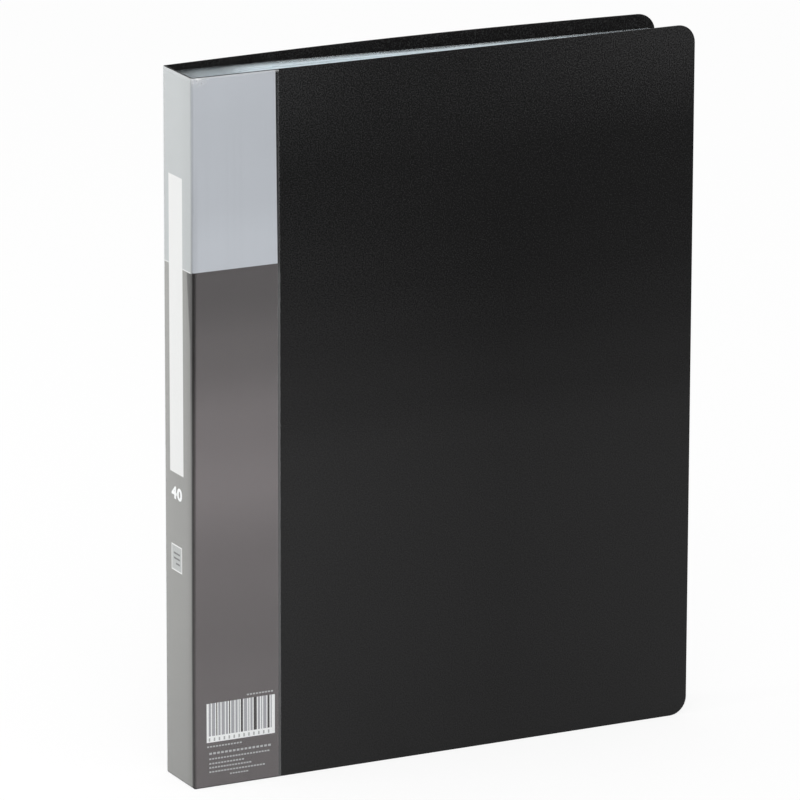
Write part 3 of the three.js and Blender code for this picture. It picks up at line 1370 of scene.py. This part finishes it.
@dataclass
class Studio:
    """Floor, light and camera. A lamp is its name, place, side length and power in watts."""

    focal_px: float = 7285.0
    yaw: float = 26.826
    pitch: float = 15.408
    roll: float = 0.158
    stand: tuple = (-1370.1 * MM, -2682.65 * MM, 983.5 * MM)
    clip: tuple = (0.1, 50)
    ambient: float = 0.74
    lamps: tuple = (
        ("key_light", (-0.9, -1.5, 1.5), 1.3, 11.5),
        ("side_light", (-1.7, 0.1, 0.9), 1.0, 9.5),
    )
    lamp_aim: tuple = (0, 0, 0.15)
    floor_side: float = 12.0
    floor_drop: float = 0.2 * MM
    floor_colour: tuple = (0.82, 0.82, 0.82, 1)
    floor_glow: float = 1.06
    floor_glow_share: float = 0.8

    def build(self) -> None:
        """Makes the world, the floor, the lamps and the camera."""
        self.world()
        self.floor()
        self.light()
        self.camera()

    def world(self) -> None:
        """Makes an even surround, white where the camera or a reflection sees it."""
        world = bpy.data.worlds.new("pale_surround")
        bpy.context.scene.world = world
        s = Shader(world)
        strength = s.seen().to((0, 1, self.ambient, 1))
        s.done(s.add("Background", {"Color": WHITE, "Strength": strength}))

    def floor(self) -> None:
        """Makes a wide pale floor that keeps the book's shadow."""
        deselect()
        bpy.ops.mesh.primitive_plane_add(size=self.floor_side, location=(0, 0, -self.floor_drop))
        obj = bpy.context.object
        obj.name = "floor"
        s = Shader(bpy.data.materials.new("pale_floor"))
        matt = s.bsdf("Diffuse", {"Color": self.floor_colour})
        glow = s.add("Emission", {"Color": WHITE, "Strength": self.floor_glow})
        share = s.seen() * self.floor_glow_share
        obj.data.materials.append(s.done(share.blend(matt, glow)))

    def light(self) -> None:
        """Adds the square soft lamps, which look at the book's middle."""
        for name, place, side, power in self.lamps:
            data = bpy.data.lights.new(name, "AREA")
            data.shape = "SQUARE"
            data.size = side
            data.energy = power
            obj = bpy.data.objects.new(name, data)
            bpy.context.scene.collection.objects.link(obj)
            obj.location = place
            aim = Vector(self.lamp_aim) - Vector(place)
            obj.rotation_euler = aim.to_track_quat("-Z", "Y").to_euler()

    def camera(self) -> None:
        """Adds the camera at the photograph's place and angle."""
        yaw, pitch, roll = (math.radians(a) for a in (self.yaw, self.pitch, self.roll))
        level = Vector((math.sin(yaw), math.cos(yaw), 0)) * math.cos(pitch)
        ahead = level - Vector((0, 0, math.sin(pitch)))
        right = Vector((math.cos(yaw), -math.sin(yaw), 0))
        up = right.cross(ahead)
        turned = right * math.cos(roll) + up * math.sin(roll)
        upward = up * math.cos(roll) - right * math.sin(roll)
        data = bpy.data.cameras.new("camera")
        data.sensor_width = SENSOR
        data.lens = self.focal_px * SENSOR / IMAGE_SIDE
        data.clip_start, data.clip_end = self.clip
        obj = bpy.data.objects.new("camera", data)
        bpy.context.scene.collection.objects.link(obj)
        columns = Matrix((turned, upward, -ahead)).transposed()
        obj.matrix_world = Matrix.Translation(Vector(self.stand)) @ columns.to_4x4()
        bpy.context.scene.camera = obj


def main() -> None:
    """Builds the studio and every piece, and writes how many pieces each part made."""
    logging.basicConfig(level=logging.INFO, format="%(message)s")
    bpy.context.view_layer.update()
    scene = bpy.context.scene
    scene.view_settings.view_transform = "Standard"
    scene.cycles.transparent_max_bounces = FILM_LAYERS_SEEN
    Studio().build()
    for assembly in (Cover(), Sleeve(), Marks(), Binding(), Pockets()):
        made = assembly.build()
        log.info("%s: %d pieces", type(assembly).__name__, len(made))


if __name__ == "__main__":
    main()
